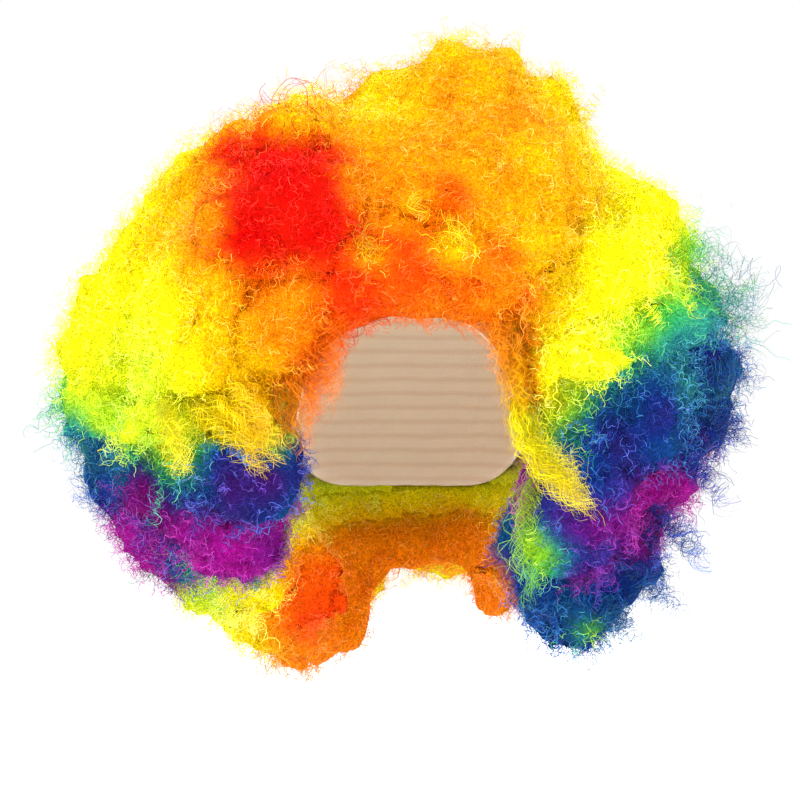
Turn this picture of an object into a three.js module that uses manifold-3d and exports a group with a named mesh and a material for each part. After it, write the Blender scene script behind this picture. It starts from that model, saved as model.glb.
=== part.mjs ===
// Rainbow afro wig: a fitted cloth cap that carries rows of curly hair, one colour to a row.
// Millimetres, +Z up. The origin is the top of the cap's inside, where the crown of the head
// touches it. The face looks along -Y, and +X is the left side of the head.
import * as THREE from "three";
import { mergeVertices } from "three/addons/utils/BufferGeometryUtils.js";
import Module from "manifold-3d";

const wasm = await Module();
wasm.setup();

// Driving dimensions

// The head that the cap fits, from its widest level: girth about 545 mm.
const HEAD = { halfWidth: 76, halfLength: 96, crown: 95, chin: 125 };
const CAP_WALL = 1.5;
const CAP_COLOUR = 0xd9c3a5;
const HAIR_GAP = 0.4; // between the cap and the hair rows
const ROW_GAP_DEG = 0.25; // between two hair rows, as an angle at the head's middle
const CAP_SIDES = 24;
const CAP_RINGS = 12;

// The cap's edge seen from the side: y along the head, z below the crown.
const CAP_EDGE = [
  { place: "forehead", y: -97, z: -44 },
  { place: "temple", y: -74, z: -66 },
  { place: "sideburn", y: -46, z: -118 },
  { place: "ear", y: -8, z: -106 },
  { place: "behind_ear", y: 28, z: -134 },
  { place: "nape_side", y: 60, z: -154 },
  { place: "nape", y: 97, z: -156 },
];

// The hair is a ball about the head's middle. Its outline from the front is given by the clock:
// degrees clockwise from the top, and the reach from the middle to the ends of the hair.
const MIDDLE = new THREE.Vector3(0, 8, -HEAD.crown);
const OUTLINE = [
  { clock: 0, reach: 184 },
  { clock: 10, reach: 204 },
  { clock: 28, reach: 207 },
  { clock: 40, reach: 179 },
  { clock: 52, reach: 197 },
  { clock: 62, reach: 189 },
  { clock: 76, reach: 216 },
  { clock: 90, reach: 213 },
  { clock: 101, reach: 184 },
  { clock: 112, reach: 193 },
  { clock: 122, reach: 182 },
  { clock: 138, reach: 194 },
  { clock: 147, reach: 177 },
  { clock: 156, reach: 148 },
  { clock: 180, reach: 150 },
  { clock: 201, reach: 189 },
  { clock: 225, reach: 194 },
  { clock: 243, reach: 191 },
  { clock: 262, reach: 206 },
  { clock: 276, reach: 217 },
  { clock: 292, reach: 195 },
  { clock: 308, reach: 202 },
  { clock: 320, reach: 183 },
  { clock: 338, reach: 206 },
  { clock: 360, reach: 184 },
];
const FRONT_REACH = 164;
const BACK_REACH = 200;
const BACKING_SHARE = 0.84; // of the reach: the matted hair that the locks stand out of
const BACKING_SIDES = 16;
const BACKING_RINGS = 10;
const ROOT_SHARE = 0.5; // of the reach: where a lock's root is buried in the backing

// The way for the face and the neck through the hair. The backing keeps further off than the locks,
// so that the locks make the hairline.
const FACE = { halfWidth: 55, jawHalfWidth: 64, top: -58, jaw: -170, front: -320, back: -30 };
const BACKING_OFF_FACE = 20;
const BACKING_OFF_FRINGE = 38;
const NECK = { radius: 56, y: 12, top: -120, bottom: -330 };

// Each row ends at a cone about an axis through the head's middle: to is the cone's angle, lean tips
// the axis towards the face and roll towards the right side of the head. A row starts where the
// one above it ends, so the rows run from the crown down to the nape.
const ROWS = [
  { name: "hair_amber_crown", colour: 0xffa200, to: 42, lean: 30, roll: 0 },
  { name: "hair_yellow_sides", colour: 0xfff000, to: 79, lean: 8, roll: 10 },
  { name: "hair_green_sides", colour: 0x58d024, to: 88, lean: 8, roll: 9 },
  { name: "hair_blue_sides", colour: 0x1440b4, to: 108, lean: 8, roll: 5 },
  { name: "hair_purple_sides", colour: 0x9c0f8c, to: 127, lean: 8, roll: 3 },
  { name: "hair_lime_nape", colour: 0x9fdf20, to: 136, lean: 8, roll: 3 },
  { name: "hair_yellow_nape", colour: 0xffe600, to: 147, lean: 8, roll: 3 },
  { name: "hair_orange_nape", colour: 0xff6a00, to: 180, lean: 8, roll: 3 },
];

// Rings of locks: the angle from the row's axis, how many go round, and a lock's radius.
const TIERS = [
  { row: "hair_amber_crown", angle: 3, count: 1, radius: 46 },
  { row: "hair_amber_crown", angle: 20, count: 6, radius: 42 },
  { row: "hair_amber_crown", angle: 35, count: 9, radius: 41 },
  { row: "hair_yellow_sides", angle: 34, count: 9, radius: 47 },
  { row: "hair_yellow_sides", angle: 51, count: 10, radius: 50 },
  { row: "hair_yellow_sides", angle: 69, count: 13, radius: 48 },
  { row: "hair_green_sides", angle: 83.5, count: 15, radius: 36 },
  { row: "hair_blue_sides", angle: 98, count: 14, radius: 47 },
  { row: "hair_purple_sides", angle: 117, count: 13, radius: 45 },
  { row: "hair_lime_nape", angle: 131.5, count: 12, radius: 33 },
  { row: "hair_yellow_nape", angle: 141, count: 10, radius: 36 },
  { row: "hair_orange_nape", angle: 154, count: 8, radius: 34 },
  { row: "hair_orange_nape", angle: 170, count: 4, radius: 34 },
];

// Tufts stand in cones of their own among the rows: a red one over the forehead on the right side of
// the head, and a blue one below the jaw on the left. fuller is their reach beside the rows' reach.
const TUFTS = [
  {
    name: "hair_red_tuft",
    colour: 0xf00d05,
    axis: new THREE.Vector3(-0.4, -0.71, 0.57).normalize(),
    halfAngle: 16,
    lockAngle: 9,
    lockRadius: 36,
    lockCount: 4,
    fuller: 1.06,
  },
  {
    name: "hair_blue_tuft",
    colour: 0x1c50c8,
    axis: new THREE.Vector3(0.69, -0.14, -0.71).normalize(),
    halfAngle: 18,
    lockAngle: 9.5,
    lockRadius: 34,
    lockCount: 4,
    fuller: 1,
  },
];

// The fringe rings the face, down to the cheeks.
const FRINGE = {
  name: "hair_orange_fringe",
  colour: 0xff7a00,
  axis: new THREE.Vector3(-0.05, -1, 0.08).normalize(),
  halfAngle: 35,
  lockAngle: 28,
  lockRadius: 27,
  lockCount: 11,
  fromClock: -112,
  toClock: 102,
  reach: 158,
  bottom: -150,
};

// A lock's profile: shares of its length and of its radius.
const LOCK_PROFILE = [
  { along: 0, full: 0 },
  { along: 0.5, full: 0.88 },
  { along: 0.74, full: 1 },
  { along: 0.93, full: 0.64 },
  { along: 1, full: 0 },
];
const LOCK = { sides: 6, bend: 10, vary: 0.15, sway: 3.5 };
const CUT_FAR = 460; // the far end of every cutting cone
const CUT_NEAR = 20;
const CUT_SIDES = 14;

// Small tools

const radians = THREE.MathUtils.degToRad;

// The same row of numbers at every run, so that the locks vary alike.
let seed = 20;
function random() {
  seed = (seed * 1664525 + 1013904223) % 4294967296;
  return seed / 4294967296;
}
const spread = (amount) => (2 * random() - 1) * amount;

// A closed geometry as a solid that can be joined and cut.
function solid(geometry) {
  const bare = geometry.clone();
  bare.deleteAttribute("normal");
  bare.deleteAttribute("uv");
  const merged = mergeVertices(bare, 1e-3);
  const mesh = new wasm.Mesh({
    numProp: 3,
    vertProperties: merged.attributes.position.array,
    triVerts: new Uint32Array(merged.index.array),
  });
  return new wasm.Manifold(mesh);
}

// The largest body of a solid: a cut can leave crumbs beside it.
function largest(body) {
  return body.decompose().reduce((a, b) => (b.volume() > a.volume() ? b : a));
}

function namedMesh(name, body, colour) {
  const made = largest(body).getMesh();
  const geometry = new THREE.BufferGeometry();
  geometry.setAttribute("position", new THREE.BufferAttribute(made.vertProperties, 3));
  geometry.setIndex(new THREE.BufferAttribute(made.triVerts, 1));
  geometry.computeVertexNormals();
  const material = new THREE.MeshStandardMaterial({ color: colour, roughness: 0.75, metalness: 0 });
  const mesh = new THREE.Mesh(geometry, material);
  mesh.name = name;
  return mesh;
}

// A profile of (radius, height) turned about a direction through a point.
function turned(profile, sides, direction, point) {
  const points = profile.map(([radius, height]) => new THREE.Vector2(radius, height));
  const geometry = new THREE.LatheGeometry(points, sides);
  const turn = new THREE.Quaternion().setFromUnitVectors(new THREE.Vector3(0, 1, 0), direction);
  geometry.applyQuaternion(turn);
  geometry.translate(point.x, point.y, point.z);
  return geometry;
}

// All that lies within an angle of a direction, seen from the head's middle.
function cone(direction, angleDeg) {
  const at = (deg, far) => [deg ? far * Math.sin(radians(deg)) : 0, far * Math.cos(radians(deg))];
  const steps = Math.ceil(angleDeg / 30);
  const profile = [at(0, CUT_NEAR), at(angleDeg, CUT_NEAR)];
  for (let i = steps; i >= 0; i--) profile.push(at((angleDeg * i) / steps, CUT_FAR));
  return solid(turned(profile, CUT_SIDES, direction, MIDDLE));
}

// The hair's shape

// How far the hair reaches along a direction from the head's middle.
function reachAlong(direction) {
  const clock = (THREE.MathUtils.radToDeg(Math.atan2(direction.x, direction.z)) + 360) % 360;
  const next = OUTLINE.findIndex((row) => row.clock > clock);
  const [a, b] = [OUTLINE[next - 1], OUTLINE[next]];
  const share = (clock - a.clock) / (b.clock - a.clock);
  const outline = THREE.MathUtils.lerp(a.reach, b.reach, share * share * (3 - 2 * share));
  const depth = direction.y < 0 ? FRONT_REACH : BACK_REACH;
  return 1 / Math.hypot(Math.hypot(direction.x, direction.z) / outline, direction.y / depth);
}

// A direction at an angle from an axis, and at a turn about it.
function around(axis, angleDeg, turnDeg) {
  const level = new THREE.Vector3(1, 0, 0).addScaledVector(axis, -axis.x).normalize();
  const up = new THREE.Vector3().crossVectors(level, axis).negate();
  const tilt = radians(angleDeg);
  const turn = radians(turnDeg);
  return axis
    .clone()
    .multiplyScalar(Math.cos(tilt))
    .addScaledVector(up, Math.sin(tilt) * Math.cos(turn))
    .addScaledVector(level, Math.sin(tilt) * Math.sin(turn));
}

// One lock: narrow at its buried root, full near its end, and bent a little to one side.
function lock(direction, reach, radius) {
  const root = reach * ROOT_SHARE;
  const profile = LOCK_PROFILE.map(({ along, full }) => [radius * full, root + (reach - root) * along]);
  const geometry = turned(profile, LOCK.sides, direction, MIDDLE);
  const side = new THREE.Vector3(spread(1), spread(1), spread(1)).cross(direction).normalize();
  const position = geometry.attributes.position;
  const vertex = new THREE.Vector3();
  for (let i = 0; i < position.count; i++) {
    vertex.fromBufferAttribute(position, i);
    const along = (vertex.clone().sub(MIDDLE).dot(direction) - root) / (reach - root);
    vertex.addScaledVector(side, LOCK.bend * along * along);
    position.setXYZ(i, vertex.x, vertex.y, vertex.z);
  }
  return solid(geometry);
}

// The matted hair under the locks.
function backing() {
  const geometry = new THREE.SphereGeometry(1, BACKING_SIDES, BACKING_RINGS);
  geometry.rotateX(Math.PI / 2);
  const position = geometry.attributes.position;
  const vertex = new THREE.Vector3();
  for (let i = 0; i < position.count; i++) {
    vertex.fromBufferAttribute(position, i).normalize();
    vertex.multiplyScalar(BACKING_SHARE * reachAlong(vertex)).add(MIDDLE);
    position.setXYZ(i, vertex.x, vertex.y, vertex.z);
  }
  return solid(geometry);
}

// The head and the cap

// The head's form, grown all round.
function headForm(grow) {
  const geometry = new THREE.SphereGeometry(1, CAP_SIDES, CAP_RINGS);
  geometry.rotateX(Math.PI / 2);
  const position = geometry.attributes.position;
  for (let i = 0; i < position.count; i++) {
    const z = position.getZ(i);
    const depth = z > 0 ? HEAD.crown : HEAD.chin;
    position.setXYZ(
      i,
      position.getX(i) * (HEAD.halfWidth + grow),
      position.getY(i) * (HEAD.halfLength + grow),
      z * (depth + grow) - HEAD.crown,
    );
  }
  return solid(geometry);
}

// An outline in two axes drawn through the third one.
function extruded(shape, depth, matrix) {
  const geometry = new THREE.ExtrudeGeometry(shape, { depth, bevelEnabled: false, curveSegments: 6 });
  geometry.applyMatrix4(matrix);
  return solid(geometry);
}

// All that lies below the cap's edge.
function belowCapEdge() {
  const far = 2 * HEAD.halfLength;
  const first = CAP_EDGE[0];
  const last = CAP_EDGE[CAP_EDGE.length - 1];
  const shape = new THREE.Shape();
  shape.moveTo(-far, -2 * far);
  shape.lineTo(far, -2 * far);
  shape.lineTo(far, last.z);
  shape.lineTo(last.y, last.z);
  shape.splineThru(CAP_EDGE.slice(0, -1).reverse().map(({ y, z }) => new THREE.Vector2(y, z)));
  shape.lineTo(-far, first.z);
  shape.closePath();
  // The shape's axes become Y and Z, and it runs along X.
  const across = new THREE.Matrix4().makeBasis(
    new THREE.Vector3(0, 1, 0),
    new THREE.Vector3(0, 0, 1),
    new THREE.Vector3(1, 0, 0),
  );
  return extruded(shape, 2 * far, across.setPosition(-far, 0, 0));
}

function cap() {
  return headForm(CAP_WALL).subtract(headForm(0)).subtract(belowCapEdge());
}

// The way that the hair leaves open in front of the face, widened by an amount.
function faceWay(grow) {
  const face = new THREE.Shape();
  const halfWidth = FACE.halfWidth + grow;
  const jawHalfWidth = FACE.jawHalfWidth + grow;
  const arch = FACE.top + grow - halfWidth;
  face.moveTo(-jawHalfWidth, NECK.bottom);
  face.lineTo(jawHalfWidth, NECK.bottom);
  face.lineTo(jawHalfWidth, FACE.jaw);
  face.lineTo(halfWidth, arch);
  face.absarc(0, arch, halfWidth, 0, Math.PI, false);
  face.lineTo(-jawHalfWidth, FACE.jaw);
  face.closePath();
  // The shape's axes become X and Z, and it runs along -Y.
  const forward = new THREE.Matrix4().makeBasis(
    new THREE.Vector3(1, 0, 0),
    new THREE.Vector3(0, 0, 1),
    new THREE.Vector3(0, -1, 0),
  );
  return extruded(face, FACE.back - FACE.front, forward.setPosition(0, FACE.back, 0));
}

// The room that the hair leaves for the cap, the face and the neck.
function headRoom() {
  const neck = new THREE.CylinderGeometry(NECK.radius, NECK.radius, NECK.top - NECK.bottom, CAP_SIDES);
  neck.rotateX(Math.PI / 2);
  neck.translate(0, NECK.y, (NECK.top + NECK.bottom) / 2);
  return headForm(CAP_WALL + HAIR_GAP).add(faceWay(0)).add(solid(neck));
}

// The rows of hair

// True where a lock would hang in the face or under the chin.
function inTheWay(direction, reach, radius) {
  const tip = direction.clone().multiplyScalar(reach - radius).add(MIDDLE);
  const beforeFace = tip.y < FACE.back && Math.abs(tip.x) < FACE.halfWidth + radius / 2;
  const overNeck = Math.hypot(tip.x, tip.y - NECK.y) < NECK.radius + radius / 3;
  return (beforeFace && tip.z < FACE.top + radius / 2) || (overNeck && tip.z < NECK.top);
}

function ringOfLocks(body, axis, tier, reachOf, belongs) {
  let fused = body;
  const start = random();
  for (let i = 0; i < tier.count; i++) {
    const share = tier.closed ? (i + start) / tier.count : i / (tier.count - 1);
    const turn = THREE.MathUtils.lerp(tier.fromTurn, tier.toTurn, share);
    const direction = around(axis, tier.angle + spread(LOCK.sway), turn);
    const reach = reachOf(direction) * (1 + spread(LOCK.vary / 3));
    const radius = tier.radius * (1 + spread(LOCK.vary));
    if (belongs(direction) && !inTheWay(direction, reach, radius)) {
      fused = fused.add(lock(direction, reach, radius));
    }
  }
  return fused;
}

function rowAxis({ lean, roll }) {
  const forward = -Math.sin(radians(lean));
  const right = -Math.sin(radians(roll));
  return new THREE.Vector3(right, forward, Math.sqrt(1 - forward * forward - right * right));
}

const degreesFrom = (axis, direction) => THREE.MathUtils.radToDeg(axis.angleTo(direction));

function fringeCell(grow) {
  const below = new THREE.BoxGeometry(2 * CUT_FAR, 2 * CUT_FAR, CUT_FAR);
  below.translate(0, 0, FRINGE.bottom - grow - CUT_FAR / 2);
  return cone(FRINGE.axis, FRINGE.halfAngle + grow).subtract(solid(below));
}

const matted = backing().subtract(faceWay(BACKING_OFF_FACE));
const fringeBacking = matted.subtract(faceWay(BACKING_OFF_FRINGE));
const room = headRoom();
const fullTurn = { fromTurn: 0, toTurn: 360, closed: true };
const fringeRoom = fringeCell(ROW_GAP_DEG);
const tuftRoom = TUFTS.map(({ axis, halfAngle }) => cone(axis, halfAngle + ROW_GAP_DEG));
const apart = tuftRoom.reduce((all, one) => all.add(one), fringeRoom);

function row(each, index) {
  const above = ROWS[index - 1];
  const axis = rowAxis(each);
  const belongs = (direction) => !above || degreesFrom(rowAxis(above), direction) > above.to - LOCK.sway;
  let body = matted;
  for (const tier of TIERS.filter((t) => t.row === each.name)) {
    body = ringOfLocks(body, axis, { ...tier, ...fullTurn }, reachAlong, belongs);
  }
  if (each.to < 180) body = body.intersect(cone(axis, each.to));
  if (above) body = body.subtract(cone(rowAxis(above), above.to + ROW_GAP_DEG));
  return namedMesh(each.name, body.subtract(apart).subtract(room), each.colour);
}

function fringe() {
  const tier = {
    angle: FRINGE.lockAngle,
    count: FRINGE.lockCount,
    radius: FRINGE.lockRadius,
    fromTurn: FRINGE.fromClock,
    toTurn: FRINGE.toClock,
  };
  const body = ringOfLocks(fringeBacking, FRINGE.axis, tier, () => FRINGE.reach, () => true);
  const own = tuftRoom.reduce((rest, one) => rest.subtract(one), body.intersect(fringeCell(0)));
  return namedMesh(FRINGE.name, own.subtract(room), FRINGE.colour);
}

function tuft({ name, colour, axis, halfAngle, lockAngle, lockRadius, lockCount, fuller }) {
  const tier = { angle: lockAngle, count: lockCount, radius: lockRadius, ...fullTurn };
  const reachOf = (direction) => fuller * reachAlong(direction);
  const body = ringOfLocks(matted, axis, tier, reachOf, () => true);
  return namedMesh(name, body.intersect(cone(axis, halfAngle)).subtract(room), colour);
}

const wig = new THREE.Group();
wig.name = "afro_wig";
wig.add(namedMesh("cap", cap(), CAP_COLOUR));
wig.add(fringe());
TUFTS.forEach((each) => wig.add(tuft(each)));
ROWS.forEach((each, index) => wig.add(row(each, index)));

export default wig;
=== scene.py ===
"""Dresses the rainbow afro wig: a stretch net cap and rows of frizzy dyed curls, one colour to a row."""

import logging
import math
from dataclasses import dataclass
from enum import Enum
from functools import partial
from typing import Optional, Sequence, Union

import bmesh
import bpy
import numpy as np
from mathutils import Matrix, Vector, noise
from mathutils.bvhtree import BVHTree


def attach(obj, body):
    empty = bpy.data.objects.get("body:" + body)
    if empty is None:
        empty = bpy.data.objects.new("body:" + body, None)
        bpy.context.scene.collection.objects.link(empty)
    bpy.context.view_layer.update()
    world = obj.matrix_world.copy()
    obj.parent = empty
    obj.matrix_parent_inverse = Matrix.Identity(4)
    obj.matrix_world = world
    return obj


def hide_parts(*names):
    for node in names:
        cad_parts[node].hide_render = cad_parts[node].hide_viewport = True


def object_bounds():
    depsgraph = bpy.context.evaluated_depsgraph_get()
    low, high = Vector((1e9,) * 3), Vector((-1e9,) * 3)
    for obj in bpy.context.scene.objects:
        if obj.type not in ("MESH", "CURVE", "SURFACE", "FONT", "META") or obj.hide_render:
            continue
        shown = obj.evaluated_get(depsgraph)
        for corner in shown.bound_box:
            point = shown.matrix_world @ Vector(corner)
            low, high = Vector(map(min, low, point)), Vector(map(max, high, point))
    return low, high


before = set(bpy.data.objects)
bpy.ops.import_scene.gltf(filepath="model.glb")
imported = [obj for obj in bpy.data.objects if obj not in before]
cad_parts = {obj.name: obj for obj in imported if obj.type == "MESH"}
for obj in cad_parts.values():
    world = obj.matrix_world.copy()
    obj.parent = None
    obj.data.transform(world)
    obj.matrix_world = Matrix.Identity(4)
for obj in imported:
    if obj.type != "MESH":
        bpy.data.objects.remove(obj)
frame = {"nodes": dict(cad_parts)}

CAD_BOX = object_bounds()
LOG = logging.getLogger("afro_wig")
BODY = "root"
# The strands' map: across is dye, up is lightness, which gives painted shade and painted highlights.
DYE_AND_LIGHT_MAP = "OFBake"
# The backing's colour attribute: its dye, darkened by painted shade in some rows.
DYE_AND_SHADE_ATTRIBUTE = "dye"
MM = 0.001
FULL_TURN = 2 * math.pi
WELD = 0.01 * MM
TINY = 1e-6

# The hollow of the cap, from its widest level.
HOLLOW_HALF_WIDTH = 76 * MM
HOLLOW_HALF_LENGTH = 96 * MM
HOLLOW_ABOVE = 95 * MM
HOLLOW_BELOW = 125 * MM
HOLLOW_CENTRE = np.array([0, 0, -HOLLOW_ABOVE])

# The point that the ball of hair stands round.
MIDDLE = np.array([0.0, 8 * MM, -HOLLOW_ABOVE])

# How far strands may stand past the solids' box: a share of each side and a margin.
ROOM_SHARE = 0.03
ROOM_MARGIN = 8 * MM

# The ends of the dye chart and of the lightness scale that strands keep to, and the scale's middle. Low
# lightness is painted as shade and high lightness as highlight.
DYE_LIMITS = (0.004, 0.996)
LIGHT_LIMITS = (0.02, 0.98)
MID_LIGHT = 0.5

# The seed of the swirls that bend the rows' dye. Without one they would differ from run to run.
WANDER_SEED = 5

Pair = tuple[float, float]
Place = tuple[float, float, float]
Colour = tuple[float, float, float, float]
Number = Union[float, "Value"]


class Solid(Enum):
    """The wig's solids."""

    CAP = "cap"
    FRINGE = "hair_orange_fringe"
    RED_TUFT = "hair_red_tuft"
    BLUE_TUFT = "hair_blue_tuft"
    CROWN = "hair_amber_crown"
    YELLOW_SIDES = "hair_yellow_sides"
    GREEN_SIDES = "hair_green_sides"
    BLUE_SIDES = "hair_blue_sides"
    PURPLE_SIDES = "hair_purple_sides"
    LIME_NAPE = "hair_lime_nape"
    YELLOW_NAPE = "hair_yellow_nape"
    ORANGE_NAPE = "hair_orange_nape"


class Dye(Enum):
    """The dye chart: each colour's place along it, its shade and the colour of its painted highlights."""

    # Columns: place on the chart, shade, and the painted highlight colour.
    CRIMSON = (0.00, "b80000", "e03828")
    RED = (0.08, "f40400", "ff5038")
    FLAME = (0.18, "ff3c00", "ff8448")
    ORANGE = (0.28, "ff7600", "ffb250")
    AMBER = (0.38, "ffa000", "ffd468")
    GOLD = (0.45, "ffd000", "fff080")
    YELLOW = (0.52, "fffa06", "ffffa0")
    LIME = (0.60, "c0f02c", "e4ff8c")
    GREEN = (0.68, "3cbe32", "94f068")
    TEAL = (0.75, "309a90", "78d4d8")
    BLUE = (0.83, "0a3ca4", "3c90f0")
    VIOLET = (0.91, "4e127c", "8c48dc")
    MAGENTA = (1.00, "b40c98", "f058d4")

    @property
    def place(self) -> float:
        """Where the colour stands on the chart, from 0 to 1."""
        return self.value[0]

    @property
    def shade(self) -> Colour:
        """The colour as linear light."""
        return linear(self.value[1])

    @property
    def painted_highlight(self) -> Colour:
        """The painted highlight colour of its brightest strands, as linear light."""
        return linear(self.value[2])

    @classmethod
    def colours(cls, places: np.ndarray) -> np.ndarray:
        """Looks colours up on the chart.

        Args:
            places: Places from 0 to 1.

        Returns:
            Linear red, green, blue and alpha for each place.
        """
        stops = [each.place for each in cls]
        shades = np.array([each.shade for each in cls])
        return np.stack([np.interp(places, stops, shades[:, i]) for i in range(shades.shape[1])], -1)


def linear(code: str) -> Colour:
    """Turns a six-digit colour code into linear light.

    Args:
        code: Red, green and blue as hexadecimal pairs.

    Returns:
        Linear red, green and blue, with an alpha of 1.
    """
    parts = [int(code[i:i + 2], 16) / 255 for i in (0, 2, 4)]
    light = [c / 12.92 if c <= 0.04045 else ((c + 0.055) / 1.055) ** 2.4 for c in parts]
    return (light[0], light[1], light[2], 1.0)


def grey(level: float) -> Colour:
    """A grey of some level, for a ramp's stop."""
    return (level, level, level, 1.0)


class Value:
    """A shader socket that takes part in Python arithmetic."""

    def __init__(self, shader: "Shader", socket: bpy.types.NodeSocket) -> None:
        """Keeps the socket and the shader that it belongs to."""
        self.shader = shader
        self.socket = socket

    def _math(self, operation: str, first: Number, second: Number) -> "Value":
        """Adds one Math node and returns its result."""
        return self.shader.node("ShaderNodeMath", {"operation": operation}, {0: first, 1: second})

    def __add__(self, other: Number) -> "Value":
        """Adds a number or a socket."""
        return self._math("ADD", self, other)

    __radd__ = __add__

    def __sub__(self, other: Number) -> "Value":
        """Takes a number or a socket away."""
        return self._math("SUBTRACT", self, other)

    def __rsub__(self, other: Number) -> "Value":
        """Is taken away from a number."""
        return self._math("SUBTRACT", other, self)

    def __mul__(self, other: Number) -> "Value":
        """Multiplies by a number or a socket."""
        return self._math("MULTIPLY", self, other)

    __rmul__ = __mul__

    def sine(self) -> "Value":
        """The sine of the value."""
        return self._math("SINE", self, 0.0)

    def raised(self) -> "Value":
        """The value moved from between -1 and 1 to between 0 and 1."""
        return self * 0.5 + 0.5

    def turn_to(self, other: "Value") -> "Value":
        """The angle of the point (other, self) about the origin."""
        return self._math("ARCTAN2", self, other)


class Shader:
    """One material's node tree, built node by node."""

    # The Mix node's sockets for colours
    MIX_FIRST = 6
    MIX_SECOND = 7
    MIX_RESULT = 2

    def __init__(self, name: str) -> None:
        """Makes a new material with a bare Principled shader.

        Args:
            name: The material's name.
        """
        self.material = bpy.data.materials.new(name)
        self.material.use_nodes = True
        self.tree = self.material.node_tree
        self.surface = self.tree.nodes["Principled BSDF"]

    def node(self, kind: str, settings: dict, sockets: dict, output: Union[int, str] = 0) -> Value:
        """Adds a node.

        Args:
            kind: The node's type.
            settings: Its own properties; "stops" gives a ramp's (place, colour) pairs.
            sockets: Input sockets by name or number, as values or links.
            output: The output that is wanted.

        Returns:
            That output.
        """
        made = self.tree.nodes.new(kind)
        for key, value in settings.items():
            if key == "stops":
                self._fill_ramp(made.color_ramp, value)
            else:
                setattr(made, key, value)
        for key, value in sockets.items():
            self._feed(made.inputs[key], value)
        return Value(self, made.outputs[output])

    def _fill_ramp(self, ramp: bpy.types.ColorRamp, stops: Sequence) -> None:
        """Gives a ramp its stops.

        Args:
            ramp: The ramp.
            stops: Places and colours, in order.
        """
        while len(ramp.elements) < len(stops):
            ramp.elements.new(1.0)
        for element, (place, colour) in zip(ramp.elements, stops):
            element.position = place
            element.color = colour

    def _feed(self, socket: bpy.types.NodeSocket, value: object) -> None:
        """Links a socket or sets its value.

        Args:
            socket: The socket.
            value: A link or a plain value.
        """
        if isinstance(value, Value):
            self.tree.links.new(value.socket, socket)
        else:
            socket.default_value = value

    def spot(self) -> Value:
        """The point on the piece, in its own coordinates."""
        return self.node("ShaderNodeTexCoord", {}, {}, "Object")

    def part(self, vector: Value, axis: str) -> Value:
        """One axis of a vector."""
        return self.node("ShaderNodeSeparateXYZ", {}, {0: vector}, axis)

    def grain(self, vector: Value, scale: float, detail: float, tangle: float = 0.0) -> Value:
        """Noise in space, of some scale and detail."""
        sockets = {"Vector": vector, "Scale": scale, "Detail": detail, "Distortion": tangle}
        return self.node("ShaderNodeTexNoise", {}, sockets)

    def ramp(self, level: Value, stops: Sequence) -> Value:
        """Looks a number up on a ramp of colours."""
        return self.node("ShaderNodeValToRGB", {"stops": stops}, {"Fac": level})

    def mix(self, first: Value, second: object, factor: object = 1.0, blend: str = "MIX") -> Value:
        """Lays one colour over another.

        Args:
            first: The colour below.
            second: The colour above.
            factor: How much of it tells.
            blend: How it is laid.

        Returns:
            The colour that results.
        """
        settings = {"data_type": "RGBA", "blend_type": blend}
        sockets = {"Factor": factor, self.MIX_FIRST: first, self.MIX_SECOND: second}
        return self.node("ShaderNodeMix", settings, sockets, self.MIX_RESULT)

    def bump(self, height: Value, distance: float) -> Value:
        """The normal of a surface raised by a height."""
        return self.node("ShaderNodeBump", {}, {"Height": height, "Distance": distance, "Strength": 1.0})

    def finish(self, **sockets: object) -> bpy.types.Material:
        """Feeds the Principled shader.

        Args:
            **sockets: Its inputs, with underscores for spaces.

        Returns:
            The material.
        """
        for key, value in sockets.items():
            self._feed(self.surface.inputs[key.replace("_", " ")], value)
        return self.material


@dataclass(frozen=True)
class FibreFinish:
    """Glossy dyed fibre, coloured by each strand's place on the dye chart and by its lightness, which paints
    shade on dark strands, mostly near the roots, and highlights on the brightest.
    """

    name: str = "dyed_fibre_painted_light"
    roughness: float = 0.3
    gloss: float = 0.15
    painted_root_shade: float = 0.2
    painted_shade_ends_at: float = 0.55
    painted_highlight_from: float = 0.6
    painted_highlight_share: float = 0.7

    def material(self) -> bpy.types.Material:
        """Makes the material, which reads the strands' own map: across is dye, up is lightness, which gives
        the painted shade and painted highlights.

        Returns:
            The material.
        """
        shader = Shader(self.name)
        place = shader.node("ShaderNodeUVMap", {"uv_map": DYE_AND_LIGHT_MAP}, {})
        dye = shader.part(place, "X")
        light = shader.part(place, "Y")
        colour = shader.ramp(dye, [(each.place, each.shade) for each in Dye])
        # Painted shade: low lightness, mostly near the roots, darkens the dye colour.
        shade = shader.ramp(light, [(0.0, grey(self.painted_root_shade)), (self.painted_shade_ends_at, grey(1.0))])
        with_painted_shade = shader.mix(colour, shade, blend="MULTIPLY")
        # Painted highlight: the brightest strands are mixed towards a lighter highlight colour.
        painted_highlight = shader.ramp(dye, [(each.place, each.painted_highlight) for each in Dye])
        share = shader.ramp(light, [(self.painted_highlight_from, grey(0.0)), (1.0, grey(self.painted_highlight_share))])
        final = shader.mix(with_painted_shade, painted_highlight, share)
        return shader.finish(Base_Color=final, Roughness=self.roughness, Specular_IOR_Level=self.gloss)


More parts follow.
